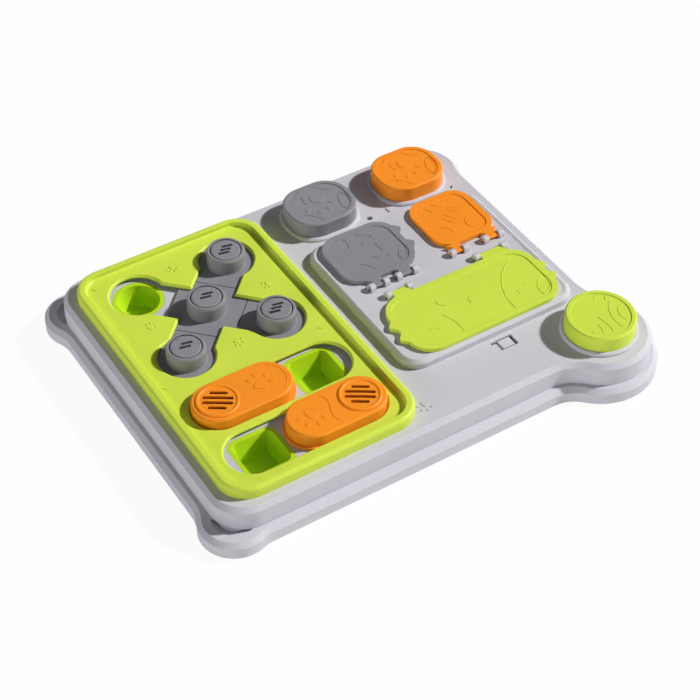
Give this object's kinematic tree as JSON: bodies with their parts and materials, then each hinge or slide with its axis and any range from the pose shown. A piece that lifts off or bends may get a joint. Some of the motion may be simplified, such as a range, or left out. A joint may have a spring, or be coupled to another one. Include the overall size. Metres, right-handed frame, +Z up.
{
  "type": "dog puzzle feeder board",
  "caption": "Low board with sliding knobs, sliding lozenges, hinged lids and lift-off caps over treat wells, on an eared tray.",
  "frame": {"origin": "on the floor, under the middle of the board's overall outline", "axes": "+X along the long front side, +Y from the front to the back, +Z up from the floor; the lime panel is on the -X half"},
  "size_m": [0.3434, 0.279, 0.0431],
  "materials": {
    "light_grey": "fine satin texture",
    "mid_grey": "fine satin texture",
    "lime_panel": "satin",
    "lime": "satin",
    "orange": "satin",
    "foot_rubber": "matt",
    "screw_steel": "plain"
  },
  "bodies": {
    "board": {"base_screws": "screw_steel", "base_tray": "light_grey", "cap_well_grey": "light_grey", "cap_well_orange": "light_grey", "cap_well_round": "light_grey", "cross_track": "light_grey", "cup_front_left": "lime", "cup_front_right": "lime", "cup_rear_left": "lime", "cup_rear_right": "lime", "lid_frame": "light_grey", "puzzle_panel": "lime_panel", "rubber_feet": "foot_rubber", "slot_cup_front_left": "lime", "slot_cup_front_right": "lime", "slot_cup_rear_left": "lime", "slot_cup_rear_right": "lime", "slot_track": "light_grey", "upper_deck": "light_grey", "well_grey": "light_grey", "well_lime": "light_grey", "well_orange": "light_grey"},
    "cap_grey": {"cap_grey": "mid_grey"},
    "cap_orange": {"cap_orange": "orange"},
    "cap_round": {"cap_round": "lime"},
    "slider_front": {"grille_front": "orange", "slider_front": "orange"},
    "slider_rear": {"grille_rear": "orange", "slider_rear": "orange"},
    "knob_centre": {"knob_centre": "mid_grey", "knob_disc_centre": "mid_grey"},
    "knob_front_left": {"knob_disc_front_left": "mid_grey", "knob_front_left": "mid_grey"},
    "knob_front_right": {"knob_disc_front_right": "mid_grey", "knob_front_right": "mid_grey"},
    "knob_rear_right": {"knob_disc_rear_right": "mid_grey", "knob_rear_right": "mid_grey"},
    "lid_grey": {"lid_grey": "mid_grey"},
    "lid_lime": {"lid_lime": "lime"},
    "lid_orange": {"lid_orange": "orange"}
  },
  "joints": [
    {"name": "knob_front_right_slide", "type": "slide", "parent": "board", "child": "knob_front_right", "axis": [-0.7071, 0.7071, 0], "range_m": [0, 0.04808]},
    {"name": "knob_centre_slide", "type": "slide", "parent": "board", "child": "knob_centre", "axis": [-0.7071, 0.7071, 0], "range_m": [0, 0.04808]},
    {"name": "knob_rear_right_slide", "type": "slide", "parent": "board", "child": "knob_rear_right", "axis": [-0.7071, -0.7071, 0], "range_m": [0, 0.0004]},
    {"name": "knob_front_left_slide", "type": "slide", "parent": "board", "child": "knob_front_left", "axis": [0.7071, 0.7071, 0], "range_m": [0, 0.0004]},
    {"name": "slider_rear_slide", "type": "slide", "parent": "board", "child": "slider_rear", "axis": [1, 0, 0], "range_m": [0, 0.0438]},
    {"name": "slider_front_slide", "type": "slide", "parent": "board", "child": "slider_front", "axis": [-1, 0, 0], "range_m": [0, 0.0438]},
    {"name": "lid_grey_hinge", "type": "hinge", "parent": "board", "child": "lid_grey", "pos_m": [0.0365, 0.008, 0.0373], "axis": [1, 0, 0], "range_deg": [0, 90]},
    {"name": "lid_orange_hinge", "type": "hinge", "parent": "board", "child": "lid_orange", "pos_m": [0.105, 0.008, 0.0373], "axis": [1, 0, 0], "range_deg": [0, 90]},
    {"name": "lid_lime_hinge", "type": "hinge", "parent": "board", "child": "lid_lime", "pos_m": [0.07, -0.004, 0.0373], "axis": [-1, 0, 0], "range_deg": [0, 90]},
    {"name": "cap_grey_lift", "type": "slide", "parent": "board", "child": "cap_grey", "axis": [0, 0, 1], "range_m": [0, 0.04]},
    {"name": "cap_orange_lift", "type": "slide", "parent": "board", "child": "cap_orange", "axis": [0, 0, 1], "range_m": [0, 0.04]},
    {"name": "cap_round_lift", "type": "slide", "parent": "board", "child": "cap_round", "axis": [0, 0, 1], "range_m": [0, 0.04]}
  ],
  "couplings": [
    {"joint": "knob_centre_slide", "follows": "knob_front_right_slide", "ratio": 1}
  ]
}
